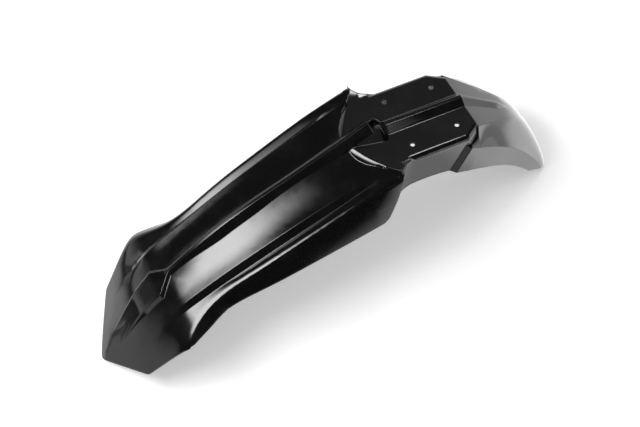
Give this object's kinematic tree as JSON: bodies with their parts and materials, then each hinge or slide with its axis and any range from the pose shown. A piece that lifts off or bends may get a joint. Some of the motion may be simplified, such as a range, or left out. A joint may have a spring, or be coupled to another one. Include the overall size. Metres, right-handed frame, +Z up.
{
  "type": "motorcycle front mudguard",
  "caption": "Front mudguard of an off-road motorcycle: thin black moulding with a raised centre spine, pointed nose, side skirts, bolted plate and a rear section that wraps down.",
  "frame": {"origin": "on the top face of the mounting plate, midway between the two front bolt holes", "axes": "+X forward to the nose, +Y to the left, +Z up along the bolts"},
  "size_m": [0.7508, 0.2352, 0.3267],
  "materials": {
    "shell": "glossy black injection-moulded polypropylene"
  },
  "bodies": {
    "root": {"front_mudguard": "shell"}
  },
  "joints": []
}
